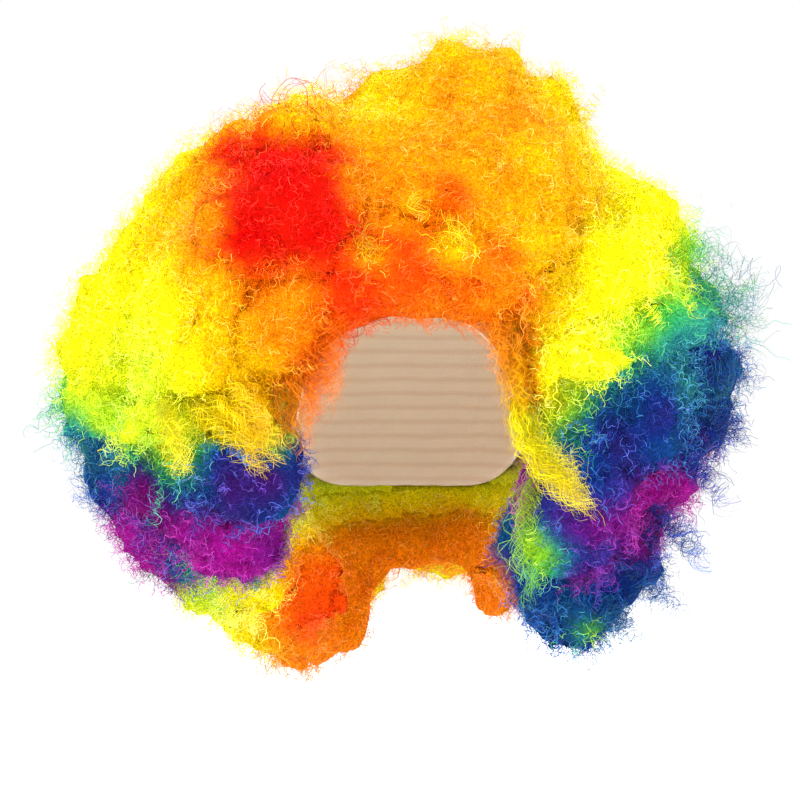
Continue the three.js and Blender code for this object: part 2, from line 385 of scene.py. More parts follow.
@dataclass(frozen=True)
class MattedFinish:
    """The matted fibre under the curls: the same dyes, darker in some rows as painted shade under the curls,
    with a fuzzy grain.
    """

    name: str = "matted_fibre_painted_shade"
    roughness: float = 0.8
    gloss: float = 0.05
    grain: float = 230.0
    detail: float = 2.0
    tangle: float = 4.0
    darkest: float = 0.5
    darkest_to: float = 0.38
    lightest: float = 1.0
    lightest_from: float = 0.6
    fuzz: float = 0.0012

    def material(self) -> bpy.types.Material:
        """Makes the material from the piece's dye attribute, which holds painted shade too, and a tangle of
        bright filaments.

        Returns:
            The material.
        """
        shader = Shader(self.name)
        fine = shader.grain(shader.spot(), self.grain, self.detail, self.tangle)
        colour = shader.node("ShaderNodeAttribute", {"attribute_name": DYE_AND_SHADE_ATTRIBUTE}, {}, "Color")
        tones = [(self.darkest_to, grey(self.darkest)), (self.lightest_from, grey(self.lightest))]
        with_painted_shade = shader.mix(colour, shader.ramp(fine, tones), blend="MULTIPLY")
        return shader.finish(
            Base_Color=with_painted_shade,
            Roughness=self.roughness,
            Specular_IOR_Level=self.gloss,
            Normal=shader.bump(fine, self.fuzz),
        )


@dataclass(frozen=True)
class NetClothFinish:
    """Stretch net cloth: fine crossed threads on a skin-coloured ground, with soft ribs round it."""

    name: str = "net_cloth"
    thread: str = "fff4e2"
    thread_from: float = 0.75
    ground: str = "f4dec0"
    ground_to: float = 0.2
    roughness: float = 0.85
    pitch: float = 1.6 * MM
    threads_round: int = 240
    relief: float = 0.0004
    rib: str = "dfc09a"
    rib_pitch: float = 9 * MM
    rib_sway: float = 3.5 * MM
    rib_from: float = 0.5
    rib_share: float = 0.4
    rib_relief: float = 0.8
    sway_scale: float = 30.0
    sway_detail: float = 1.0

    def material(self) -> bpy.types.Material:
        """Makes the material from threads up the dome, threads round it and ribs.

        Returns:
            The material.
        """
        shader = Shader(self.name)
        spot = shader.spot()
        x = shader.part(spot, "X")
        y = shader.part(spot, "Y")
        z = shader.part(spot, "Z")
        up = (z * (FULL_TURN / self.pitch)).sine()
        round_about = (y.turn_to(x) * float(self.threads_round)).sine()
        weave = (up * round_about).raised()
        threads = [(self.ground_to, linear(self.ground)), (self.thread_from, linear(self.thread))]
        colour = shader.ramp(weave, threads)
        sway = shader.grain(spot, self.sway_scale, self.sway_detail)
        level = (z + sway * self.rib_sway) * (FULL_TURN / self.rib_pitch)
        ribs = [(self.rib_from, grey(0.0)), (1.0, grey(self.rib_share))]
        row = shader.ramp(level.sine().raised(), ribs)
        final = shader.mix(colour, linear(self.rib), row)
        bump = shader.bump(weave + row * self.rib_relief, self.relief)
        return shader.finish(Base_Color=final, Roughness=self.roughness, Normal=bump)


@dataclass(frozen=True)
class StudioFinish:
    """Matt white paper for the floor."""

    name: str = "studio_paper"
    colour: str = "ffffff"
    roughness: float = 0.9

    def material(self) -> bpy.types.Material:
        """Makes the material."""
        return Shader(self.name).finish(Base_Color=linear(self.colour), Roughness=self.roughness)


def units(vectors: np.ndarray) -> np.ndarray:
    """Scales vectors to unit length along their last axis."""
    return vectors / np.maximum(np.linalg.norm(vectors, axis=-1, keepdims=True), 1e-12)


def across(vectors: np.ndarray, along: np.ndarray) -> np.ndarray:
    """What is left of vectors when their part along unit directions is taken out."""
    return vectors - along * (vectors * along).sum(-1, keepdims=True)


def falloff(away: np.ndarray, reach: float) -> np.ndarray:
    """A share from 1 near by to 0 past a reach in millimetres, with a flat top."""
    return np.exp(-((away / (reach * MM)) ** 4))


def lump_noise(points: np.ndarray, size: float) -> np.ndarray:
    """Smooth noise in space.

    Args:
        points: Where it is wanted.
        size: How wide a lump is.

    Returns:
        A number from about -1 to 1 for each point.
    """
    roughness, finer, octaves = 0.8, 2.2, 2
    spots = (Vector(point) / size for point in points.tolist())
    return np.array([noise.fractal(spot, roughness, finer, octaves) for spot in spots])


def wander(points: np.ndarray, size: float) -> np.ndarray:
    """Smooth noise in space as vectors, in swirls of some size."""
    noise.seed_set(WANDER_SEED)
    return np.array([noise.noise_vector(Vector(point) / size) for point in points.tolist()])


def blotches(points: np.ndarray, size: float) -> np.ndarray:
    """Smooth noise in space, in blotches of some size."""
    return np.array([noise.noise(Vector(point) / size) for point in points.tolist()])


def outer_share(points: np.ndarray, normals: np.ndarray) -> np.ndarray:
    """How far a surface looks away from the wig's middle: 1 outside, and little where it looks inward.

    Args:
        points: Points of the surface.
        normals: Its normals there.

    Returns:
        A share for each point.
    """
    least, gain = 0.15, 1.4
    facing = (normals * units(points - MIDDLE)).sum(-1)
    return np.clip(least + gain * facing, least, 1.0)


@dataclass(frozen=True)
class Spot:
    """A round place on the wig: its middle and its reach in millimetres."""

    x: float
    y: float
    z: float
    reach: float

    def near(self, points: np.ndarray) -> np.ndarray:
        """How strongly the spot tells at each point, from 0 to 1."""
        centre = np.array([self.x, self.y, self.z]) * MM
        return falloff(np.linalg.norm(points - centre, axis=-1), self.reach)


@dataclass(frozen=True)
class Splash(Spot):
    """A spot of another dye, by its place on the chart."""

    place: float


@dataclass(frozen=True)
class Hollow(Spot):
    """A spot where the backing lies deeper in, by millimetres, so that only loose strands stand there."""

    depth: float


@dataclass(frozen=True)
class Swell:
    """A ridge from front to back, in millimetres. It lies in where its height is negative."""

    x: float
    z: float
    reach: float
    height: float

    def near(self, points: np.ndarray) -> np.ndarray:
        """How strongly the ridge tells at each point, from 0 to 1."""
        away = np.hypot(points[..., 0] - self.x * MM, points[..., 2] - self.z * MM)
        return falloff(away, self.reach)


@dataclass
class Skin:
    """The hair's soft surface: corners, normals, four-cornered faces and each face's row."""

    INNER_SHARE = 0.8

    spots: np.ndarray
    normals: np.ndarray
    faces: np.ndarray
    label: np.ndarray

    def patch(self, row: int) -> tuple[np.ndarray, np.ndarray]:
        """The part of the surface that belongs to a row.

        Args:
            row: The row's number.

        Returns:
            The numbers of its corners, and its faces as places in that list.
        """
        faces = self.faces[self.label == row]
        used, inverse = np.unique(faces, return_inverse=True)
        return used, inverse.reshape(faces.shape)

    def soften(self, values: np.ndarray, times: int) -> np.ndarray:
        """Blends each corner's value with those of the corners round it.

        Args:
            values: A value for each corner.
            times: How often it is done.

        Returns:
            The blended values.
        """
        corners = self.faces.ravel()
        shares = np.maximum(np.bincount(corners, minlength=len(values)), 1)[:, None]
        for _ in range(times):
            blended = np.zeros_like(values)
            means = values[self.faces].mean(1)
            np.add.at(blended, corners, np.repeat(means, self.faces.shape[1], axis=0))
            values = blended / shares
        return values

    def scatter(
        self, row: int, per_area: float, rng: np.random.Generator
    ) -> tuple[np.ndarray, np.ndarray, np.ndarray]:
        """Scatters points on a row's surface, fewer where it faces inward.

        Args:
            row: The row's number.
            per_area: Points for each square metre.
            rng: The source of random numbers.

        Returns:
            The points, their normals and how far each looks outward.
        """
        faces = self.faces[self.label == row]
        corner = self.spots[faces]
        crossed = np.cross(corner[:, 2] - corner[:, 0], corner[:, 3] - corner[:, 1])
        area = np.linalg.norm(crossed, axis=1) / 2
        count = int(area.sum() * per_area)
        chosen = rng.choice(len(area), count, p=area / area.sum())
        a, b = rng.random((2, count, 1))
        share = np.stack([(1 - a) * (1 - b), a * (1 - b), a * b, (1 - a) * b], 1)
        points = (corner[chosen] * share).sum(1)
        normals = units((self.normals[faces][chosen] * share).sum(1))
        outer = outer_share(points, normals)
        kept = rng.random(count) < np.maximum(outer, self.INNER_SHARE)
        return points[kept], normals[kept], outer[kept]


class WigForm:
    """The wig's solids, one soft surface drawn over all of its hair, and the spots and ridges on it."""

    SWELL = 1.6 * MM
    VOXEL = 6 * MM
    SOFTEN = 7
    SOFTEN_SHARE = 0.5
    CAP_CLEAR = 2.5 * MM
    CAP_RIM = -160 * MM
    BELOW_RIM = -8 * MM
    LUMP_SIZE = 24 * MM
    LUMP_HEIGHT = 7 * MM
    MAT_SINK = 4.5 * MM
    MAT_ROUGH = 1.0 * MM
    MAT_SEED = 7

    def __init__(
        self,
        nodes: dict[str, bpy.types.Object],
        splashes: Sequence[Splash],
        hollows: Sequence[Hollow],
        swells: Sequence[Swell],
    ) -> None:
        """Reads every node's triangles and draws the hair's surface over them.

        Args:
            nodes: The solids' objects by name.
            splashes: Spots of other dye, in the order that they are laid.
            hollows: Spots where the backing lies deeper.
            swells: Ridges where the hair stands out or lies in.
        """
        self.nodes = nodes
        self.splashes = splashes
        self.hollows = hollows
        self.swells = swells
        self.names = [name for name in sorted(nodes) if name != Solid.CAP.value]
        self.triangles = {name: self._read(each.data) for name, each in nodes.items()}
        self.trees = {name: self._tree(tri) for name, tri in self.triangles.items()}
        self.skin = self._surface()

    @staticmethod
    def _read(data: bpy.types.Mesh) -> np.ndarray:
        """Reads a mesh's triangles.

        Args:
            data: The mesh.

        Returns:
            The three corners of each triangle.
        """
        data.calc_loop_triangles()
        spots = np.empty(len(data.vertices) * 3, np.float32)
        data.vertices.foreach_get("co", spots)
        corners = np.empty(len(data.loop_triangles) * 3, np.int32)
        data.loop_triangles.foreach_get("vertices", corners)
        return spots.reshape(-1, 3)[corners].reshape(-1, 3, 3).astype(float)

    @staticmethod
    def _tree(triangles: np.ndarray) -> BVHTree:
        """Makes a search tree.

        Args:
            triangles: The three corners of each triangle.

        Returns:
            The tree.
        """
        corners = triangles.reshape(-1, 3)
        faces = np.arange(len(corners)).reshape(-1, 3)
        return BVHTree.FromPolygons(corners.tolist(), faces.tolist())

    def _surface(self) -> Skin:
        """Swells the hair's solids until they meet, and remeshes them as one soft body.

        Returns:
            The body's surface.
        """
        work = bmesh.new()
        for name in self.names:
            work.from_mesh(self.nodes[name].data)
        bmesh.ops.remove_doubles(work, verts=work.verts, dist=WELD)
        work.normal_update()
        for vertex in work.verts:
            vertex.co += vertex.normal * self.SWELL
        source = bpy.data.meshes.new("hair_source")
        work.to_mesh(source)
        work.free()
        holder = bpy.data.objects.new("hair_source", source)
        bpy.context.scene.collection.objects.link(holder)
        remesh = holder.modifiers.new("one_body", "REMESH")
        remesh.mode = "VOXEL"
        remesh.voxel_size = self.VOXEL
        smooth = holder.modifiers.new("soft", "SMOOTH")
        smooth.factor = self.SOFTEN_SHARE
        smooth.iterations = self.SOFTEN
        found = holder.evaluated_get(bpy.context.evaluated_depsgraph_get())
        mesh = bpy.data.meshes.new_from_object(found)
        bpy.data.objects.remove(holder)
        bpy.data.meshes.remove(source)
        skin = self._labelled(mesh)
        bpy.data.meshes.remove(mesh)
        return skin

    def _labelled(self, mesh: bpy.types.Mesh) -> Skin:
        """Gives every face of the surface to the nearest row, and moves its corners clear of the cap.

        Args:
            mesh: The soft body.

        Returns:
            Its surface.
        """
        spots = np.empty(len(mesh.vertices) * 3, np.float32)
        mesh.vertices.foreach_get("co", spots)
        normals = np.empty(len(mesh.vertices) * 3, np.float32)
        mesh.vertices.foreach_get("normal", normals)
        faces = np.empty(len(mesh.loops), np.int32)
        mesh.loops.foreach_get("vertex_index", faces)
        spots = spots.reshape(-1, 3).astype(float)
        normals = normals.reshape(-1, 3).astype(float)
        faces = faces.reshape(-1, 4)
        rows = [self.triangles[name] for name in self.names]
        owner = np.repeat(np.arange(len(rows)), [len(row) for row in rows])
        tree = self._tree(np.concatenate(rows))
        label = owner[[tree.find_nearest(spot)[2] for spot in spots[faces].mean(1).tolist()]]
        return Skin(self.outside_cap(spots), normals, faces, label)

    def outside_cap(self, points: np.ndarray) -> np.ndarray:
        """Moves what would touch the cap out to a small distance from it.

        Args:
            points: Points of the hair's surface.

        Returns:
            The points, none of them inside the cap.
        """
        share = self.hollow_share(points, self.CAP_CLEAR)[:, None]
        outside = HOLLOW_CENTRE + (points - HOLLOW_CENTRE) / np.sqrt(np.maximum(share, TINY))
        return np.where(share < 1, outside, points)

    @staticmethod
    def hollow_share(points: np.ndarray, grow: Union[float, np.ndarray]) -> np.ndarray:
        """Tells how far out points lie.

        Args:
            points: The points.
            grow: How much larger the cap's hollow is taken.

        Returns:
            A number for each point, below 1 inside the hollow.
        """
        spot = points - HOLLOW_CENTRE
        across_it = (spot[..., 0] / (HOLLOW_HALF_WIDTH + grow)) ** 2
        along_it = (spot[..., 1] / (HOLLOW_HALF_LENGTH + grow)) ** 2
        depth = np.where(spot[..., 2] > 0, HOLLOW_ABOVE, HOLLOW_BELOW) + grow
        return across_it + along_it + (spot[..., 2] / depth) ** 2

    def row_number(self, node: Solid) -> int:
        """A row's number on the surface."""
        return self.names.index(node.value)

    def distance(self, node: Solid, points: np.ndarray) -> np.ndarray:
        """How far points lie from a node's surface."""
        tree = self.trees[node.value]
        return np.array([tree.find_nearest(point)[3] for point in points.tolist()])

    def splashed(self, dye: np.ndarray, points: np.ndarray) -> np.ndarray:
        """Lays the spots of other dye over a row's own dye.

        Args:
            dye: The place on the chart at each point.
            points: The points.

        Returns:
            The places with the spots laid over them.
        """
        for splash in self.splashes:
            dye = dye + (splash.place - dye) * splash.near(points)
        return dye

    def backing(self) -> np.ndarray:
        """The corners of the matted backing: the hair's surface, sunk below the curls' ends.

        Returns:
            A point for each corner of the surface.
        """
        spots, normals = self.skin.spots, self.skin.normals
        rough = np.random.default_rng(self.MAT_SEED).normal(size=len(spots)) * self.MAT_ROUGH
        rise = outer_share(spots, normals) * (self.lumps(spots) + rough - self.MAT_SINK)
        return self.outside_cap(self.sunk(spots) + normals * rise[:, None])

    def hollowed(self, points: np.ndarray) -> np.ndarray:
        """How far the backing lies in towards the wig's middle at each point."""
        return sum(hollow.depth * MM * hollow.near(points) for hollow in self.hollows)

    def sunk(self, points: np.ndarray) -> np.ndarray:
        """Moves points of the surface in where the backing is hollow."""
        return points - units(points - MIDDLE) * self.hollowed(points)[:, None]

    def lumps(self, points: np.ndarray) -> np.ndarray:
        """How far the hair stands up or lies down at each point."""
        swells = sum(swell.height * MM * swell.near(points) for swell in self.swells)
        return self.LUMP_HEIGHT * lump_noise(points, self.LUMP_SIZE) + swells

    def in_room(self, points: np.ndarray) -> np.ndarray:
        """Tells which strands stay out of the cap's hollow and close enough to the solids.

        Args:
            points: The stations of each strand.

        Returns:
            True for each strand that does.
        """
        grow = np.where(points[..., 2] > self.CAP_RIM, self.CAP_CLEAR, self.BELOW_RIM)
        outside = (self.hollow_share(points, grow) > 1).all(-1)
        low, high = (np.array(corner) for corner in CAD_BOX)
        room = ROOM_SHARE * (high - low) + ROOM_MARGIN
        return outside & ((points > low - room) & (points < high + room)).all((-1, -2))


@dataclass(frozen=True)
class CurlStyle:
    """How one kind of strand grows. Pairs are the least and the most of a size."""

    per_area: float
    length: Pair
    rise: Pair
    curl: Pair
    turns: Pair
    crimp: float
    droop: float
    width: float
    segments: int
    # The strands' lightness: low is painted as shade, high as highlight.
    light: Pair
    clump: int = 1
    spread: float = 0.0
    depth: float = 4 * MM


RINGLETS = CurlStyle(
    per_area=1500, length=(18 * MM, 30 * MM), rise=(0.15, 0.5), curl=(1.8 * MM, 3.6 * MM), turns=(2.8, 4.8),
    crimp=1.2 * MM, droop=0.1, width=0.34 * MM, segments=20, light=(0.42, 0.8), clump=4, spread=3.0 * MM,
)
FRIZZ = CurlStyle(
    per_area=46000, length=(10 * MM, 18 * MM), rise=(0.15, 0.75), curl=(0.8 * MM, 1.6 * MM), turns=(2.2, 3.6),
    crimp=1.8 * MM, droop=0.05, width=0.4 * MM, segments=12, light=(0.4, 0.95),
)
WISPS = CurlStyle(
    per_area=6500, length=(13 * MM, 22 * MM), rise=(0.35, 0.8), curl=(1.0 * MM, 2.4 * MM), turns=(1.8, 3.2),
    crimp=2.0 * MM, droop=0.05, width=0.28 * MM, segments=13, light=(0.4, 0.85),
)
STRAYS = CurlStyle(
    per_area=220, length=(18 * MM, 28 * MM), rise=(0.4, 0.75), curl=(2.5 * MM, 4.5 * MM), turns=(1.8, 3.0),
    crimp=1.5 * MM, droop=0.1, width=0.34 * MM, segments=20, light=(0.3, 0.7),
)
CURL_STYLES = (RINGLETS, FRIZZ, WISPS, STRAYS)


@dataclass
class Strands:
    """Grown strands: points, widths, dyes and lightness at each station. The lightness gives their painted
    shade and painted highlights.
    """

    points: np.ndarray
    widths: np.ndarray
    dye: np.ndarray
    light: np.ndarray

    def some(self, chosen: np.ndarray) -> "Strands":
        """The strands that are chosen."""
        return Strands(self.points[chosen], self.widths[chosen], self.dye[chosen], self.light[chosen])


class Grower:
    """Grows strands of one style from points on the skin. Pairs are the least and the most of a share."""

    INWARD = 0.75
    STRETCH = (0.3, 1.5)
    LENGTHS = (0.75, 1.15)
    RADII = (0.6, 1.3)
    SLIPS = (-0.5, 0.5)
    HUDDLE = 0.6
    GATHER = 0.6
    GATHER_SPAN = 1.4
    OPENING = 2.5
    CRIMP_CYCLES = (1.3, 2.9)
    CRIMP_GROWTH = 0.7
    LIGHT_STEPS = (-0.12, 0.12)
    PAINTED_SHADE_ROOT_LIGHT = 0.45
    LIGHT_GAIN = 0.65
    TINTS = (-0.012, 0.012)
    WIDTHS = (0.7, 1.2)
    TAPER = 0.45

    def __init__(self, style: CurlStyle, rng: np.random.Generator) -> None:
        """Keeps the style and the source of random numbers."""
        self.style = style
        self.rng = rng

    def between(self, pair: Pair, *shape: int) -> np.ndarray:
        """Random numbers between two sizes."""
        return self.rng.uniform(pair[0], pair[1], shape)

    def grow(
        self, roots: np.ndarray, normals: np.ndarray, outward: np.ndarray, dye: np.ndarray, extra: np.ndarray
    ) -> Strands:
        """Grows every strand.

        Args:
            roots: A point on the skin for each clump.
            normals: The skin's normals there.
            outward: How far the skin looks away from the wig's middle, from 0 to 1.
            dye: Each clump's place on the dye chart.
            extra: How much longer its strands may be.

        Returns:
            The strands.
        """
        style = self.style
        count, many = len(roots), style.clump
        t = np.linspace(0, 1, style.segments + 1)
        free = self.INWARD + (1 - self.INWARD) * outward[:, None]
        axis, first, second = self._leanings(normals, free)
        length = self.between(style.length, count, 1) * free
        length = length + extra[:, None] * self.between(self.STRETCH, count, 1)
        length = length * self.between(self.LENGTHS, count, many)
        radius = self.between(style.curl, count, 1) * self.between(self.RADII, count, many)
        angle = self._angles(count, many, t)
        offset = self.rng.normal(size=(count, many, 3)) * style.spread * self.HUDDLE
        offset = across(offset, normals[:, None])
        start = roots[:, None] + offset - normals[:, None] * (style.depth * outward)[:, None, None]
        gather = -self.GATHER * np.sin(np.pi * t / self.GATHER_SPAN)
        along = length[..., None] * t
        swell = radius[..., None] * np.minimum(1, self.OPENING * t)
        points = start[:, :, None] + axis[:, None, None] * along[..., None]
        points = points + offset[:, :, None] * gather[None, None, :, None]
        points = points + first[:, None, None] * (swell * np.cos(angle))[..., None]
        points = points + second[:, None, None] * (swell * np.sin(angle))[..., None]
        points = points + self._crimps(count, many, t)
        points[..., 2] -= style.droop * along * t
        # Lightness: a random tone for each clump and strand, with painted shade that darkens it towards the
        # root.
        light = self.between(style.light, count, 1, 1) + self.between(self.LIGHT_STEPS, count, many, 1)
        light = np.clip(light * (self.PAINTED_SHADE_ROOT_LIGHT + self.LIGHT_GAIN * t), *LIGHT_LIMITS)
        tint = dye[:, None, None] + self.between(self.TINTS, count, many, 1) + 0 * t
        widths = style.width * self.between(self.WIDTHS, count * many, 1) * (1 - self.TAPER * t ** 2)
        shape = (count * many, len(t))
        return Strands(points.reshape(shape + (3,)), widths, tint.reshape(shape), light.reshape(shape))

    def _leanings(self, normals: np.ndarray, free: np.ndarray) -> tuple[np.ndarray, np.ndarray, np.ndarray]:
        """Leans each clump over in a direction of its own.

        Args:
            normals: The skin's normals.
            free: How freely each clump stands up.

        Returns:
            The clumps' axes and two directions square to each.
        """
        loose = across(self.rng.normal(size=normals.shape), normals)
        rise = self.between(self.style.rise, len(normals), 1) * free
        axis = units(normals * rise + units(loose) * np.sqrt(1 - rise ** 2))
        first = units(np.cross(axis, self.rng.normal(size=normals.shape)))
        return axis, first, np.cross(axis, first)

    def _angles(self, count: int, many: int, t: np.ndarray) -> np.ndarray:
        """Winds each strand about its axis, either way round.

        Args:
            count: The number of clumps.
            many: Strands to a clump.
            t: How far along a strand each station lies.

        Returns:
            The angle at each station.
        """
        hand = np.where(self.rng.random((count, 1)) < 0.5, -1.0, 1.0)
        phase = self.between((0, FULL_TURN), count, 1) + self.between(self.SLIPS, count, many)
        turns = self.between(self.style.turns, count, 1)
        return phase[..., None] + hand[..., None] * FULL_TURN * turns[..., None] * t

    def _crimps(self, count: int, many: int, t: np.ndarray) -> np.ndarray:
        """Makes small irregular waves that grow towards a strand's end.

        Args:
            count: The number of clumps.
            many: Strands to a clump.
            t: How far along a strand each station lies.

        Returns:
            A shift for each station.
        """
        waves = np.zeros((count, many, len(t), 3))
        for cycles in self.CRIMP_CYCLES:
            phase = self.between((0, FULL_TURN), count, many, 1, 3)
            waves += np.sin(FULL_TURN * cycles * t[:, None] + phase) / cycles
        return waves * self.style.crimp * t[:, None] ** self.CRIMP_GROWTH


@dataclass(frozen=True)
class LooseLock:
    """A lock of ringlets that hangs free: the way that it follows, its dyes and its sizes, in millimetres.

    Pairs of shares are the least and the most, drawn for each ringlet or, in the own ones, for each strand.
    """

    SEGMENTS = 30
    FRAY = 0.8
    TIP = 0.5
    ROOT = 0.3
    SPREADING = 2
    OPENING = 3
    SLIP = 1.3
    TURN_SHARES = (0.7, 1.3)
    CURL_SHARES = (0.6, 1.3)
    OWN_CURL_SHARES = (0.5, 1.3)
    REACH_SHARES = (0.6, 1.05)
    OWN_REACH_SHARES = (0.8, 1.05)
    OWN_LIGHT_SHARES = (0.7, 1.1)
    OWN_WIDTH_SHARES = (0.7, 1.2)
    CYCLES = (2, 4.5)
    TINT = 0.02
    PAINTED_SHADE_ROOT_LIGHT = 0.6
    TAPER = 0.4

    way: tuple[Place, Place, Place]
    places: Pair
    ringlets: int = 5
    strands: int = 10
    radius: float = 7.0
    curl: float = 2.9
    turns: float = 4.2
    fuzz: float = 1.6
    width: float = 0.35
    # The ringlets' lightness: low is painted as shade, high as highlight.
    light: Pair = (0.15, 0.9)
    crimp: float = 1.0

    def grow(self, rng: np.random.Generator) -> Strands:
        """Makes the lock's strands.

        Args:
            rng: The source of random numbers.

        Returns:
            The strands.
        """
        t = np.linspace(0, 1, self.SEGMENTS + 1)
        each, own = (self.ringlets, 1, 1), (self.ringlets, self.strands, 1)
        points = self._points(rng, t, each, own)
        root, tip = self.places
        dye = root + (tip - root) * t + rng.uniform(-self.TINT, self.TINT, own)
        light = rng.uniform(*self.light, each) * rng.uniform(*self.OWN_LIGHT_SHARES, own)
        # Painted shade: each strand is darker towards its root.
        light = light * (self.PAINTED_SHADE_ROOT_LIGHT + (1 - self.PAINTED_SHADE_ROOT_LIGHT) * t)
        widths = self.width * rng.uniform(*self.OWN_WIDTH_SHARES, own) * (1 - self.TAPER * t)
        flat = (self.ringlets * self.strands, len(t))
        stations = points.reshape(flat + (3,)) * MM
        return Strands(stations, widths.reshape(flat) * MM, dye.reshape(flat), light.reshape(flat))

    def _points(self, rng: np.random.Generator, t: np.ndarray, each: tuple, own: tuple) -> np.ndarray:
        """Winds the strands about ringlets that run along the lock's way.

        Args:
            rng: The source of random numbers.
            t: How far along a strand each station lies.
            each: The shape of a number for each ringlet.
            own: The shape of a number for each strand.

        Returns:
            The stations, in millimetres.
        """
        start, middle, end = (np.array(point) for point in self.way)
        line = (1 - t)[:, None] ** 2 * start + (2 * t * (1 - t))[:, None] * middle + (t ** 2)[:, None] * end
        along = units(np.gradient(line, axis=0))
        first = units(np.cross(along, np.array([0.0, 1.0, 0.0])))
        second = np.cross(along, first)
        side = rng.uniform(0, FULL_TURN, each)
        out = self.radius * np.sqrt(rng.random(each)) * np.minimum(1, self.ROOT + self.SPREADING * t)
        out = out * (1 - self.TIP * t ** 2)
        hand = np.where(rng.random(each) < 0.5, -1.0, 1.0)
        phase = rng.uniform(0, FULL_TURN, each) + rng.uniform(-self.SLIP, self.SLIP, own)
        phase = phase + hand * FULL_TURN * self.turns * rng.uniform(*self.TURN_SHARES, each) * t
        curl = self.curl * rng.uniform(*self.CURL_SHARES, each) * rng.uniform(*self.OWN_CURL_SHARES, own)
        curl = curl * np.minimum(1, self.OPENING * t)
        spin = rng.uniform(0, FULL_TURN, own)
        loose = self.fuzz * np.abs(rng.normal(size=own)) * (1 + self.FRAY * t)
        a = out * np.cos(side) + curl * np.cos(phase) + loose * np.cos(spin)
        b = out * np.sin(side) + curl * np.sin(phase) + loose * np.sin(spin)
        reach = rng.uniform(*self.REACH_SHARES, each) * rng.uniform(*self.OWN_REACH_SHARES, own)
        points = start + (line - start) * reach[..., None] + a[..., None] * first + b[..., None] * second
        waves = FULL_TURN * (rng.uniform(*self.CYCLES, own + (1,)) * t[:, None] + rng.random(own + (3,)))
        return points + np.sin(waves) * self.crimp * t[:, None]


class StrandMesh:
    """Joins strands into one mesh of flat ribbons, with two corners at each station."""

    MAP_EDGES = np.array([-0.0025, 0.0025])
    MAP_LIMITS = (0.003, 0.997)

    def __init__(self) -> None:
        """Starts with no strands."""
        self.vertices: list[np.ndarray] = []
        self.maps: list[np.ndarray] = []
        self.faces: list[np.ndarray] = []
        self.total = 0

    def add(self, strands: Strands, rng: np.random.Generator) -> None:
        """Adds strands.

        Args:
            strands: The strands.
            rng: The source of random numbers for each strand's twist.
        """
        points = strands.points
        count, stations = points.shape[:2]
        tangent = units(np.gradient(points, axis=1))
        flat = np.empty_like(points)
        flat[:, 0] = units(np.cross(tangent[:, 0], rng.normal(size=(count, 3))))
        for i in range(1, stations):
            flat[:, i] = units(across(flat[:, i - 1], tangent[:, i]))
        edge = flat * (strands.widths[..., None] / 2)
        vertices = np.stack([points + edge, points - edge], 2)
        dye = np.clip(strands.dye[..., None] + self.MAP_EDGES, *self.MAP_LIMITS)
        light = np.broadcast_to(strands.light[..., None], dye.shape)
        corner = self.total + np.arange(dye.size).reshape(dye.shape)
        here, there = corner[:, :-1], corner[:, 1:]
        quads = np.stack([here[..., 0], here[..., 1], there[..., 1], there[..., 0]], -1)
        self.vertices.append(vertices.reshape(-1, 3))
        self.maps.append(np.stack([dye, light], -1).reshape(-1, 2))
        self.faces.append(quads.reshape(-1, 4))
        self.total += dye.size

    def build(self, name: str) -> bpy.types.Mesh:
        """Makes the mesh.

        Args:
            name: Its name.

        Returns:
            The mesh, with its map of dye and of lightness, which gives painted shade and highlights.
        """
        vertices = np.concatenate(self.vertices)
        faces = np.concatenate(self.faces)
        maps = np.concatenate(self.maps)
        mesh = bpy.data.meshes.new(name)
        mesh.vertices.add(len(vertices))
        mesh.vertices.foreach_set("co", vertices.astype(np.float32).ravel())
        mesh.loops.add(faces.size)
        mesh.loops.foreach_set("vertex_index", faces.astype(np.int32).ravel())
        mesh.polygons.add(len(faces))
        mesh.polygons.foreach_set("loop_start", np.arange(0, faces.size, 4, dtype=np.int32))
        mesh.polygons.foreach_set("use_smooth", np.ones(len(faces), bool))
        layer = mesh.uv_layers.new(name=DYE_AND_LIGHT_MAP)
        layer.uv.foreach_set("vector", maps[faces.ravel()].astype(np.float32).ravel())
        mesh.update(calc_edges=True)
        return mesh


def add_piece(name: str, mesh: bpy.types.Mesh, node: str, material: bpy.types.Material) -> bpy.types.Object:
    """Puts a finished mesh into the scene in place of a node.

    Args:
        name: The piece's name.
        mesh: Its mesh.
        node: The name of the node that it stands for.
        material: Its finish.

    Returns:
        The piece.
    """
    mesh.materials.clear()
    mesh.materials.append(material)
    piece = bpy.data.objects.new(name, mesh)
    bpy.context.scene.collection.objects.link(piece)
    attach(piece, BODY)
    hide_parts(node)
    mesh.calc_loop_triangles()
    LOG.info("%s: %d triangles", name, len(mesh.loop_triangles))
    return piece


@dataclass(frozen=True)
class Pull:
    """A neighbour that draws a row's dye towards a place on the chart, within a reach."""

    node: Solid
    place: float
    reach: float


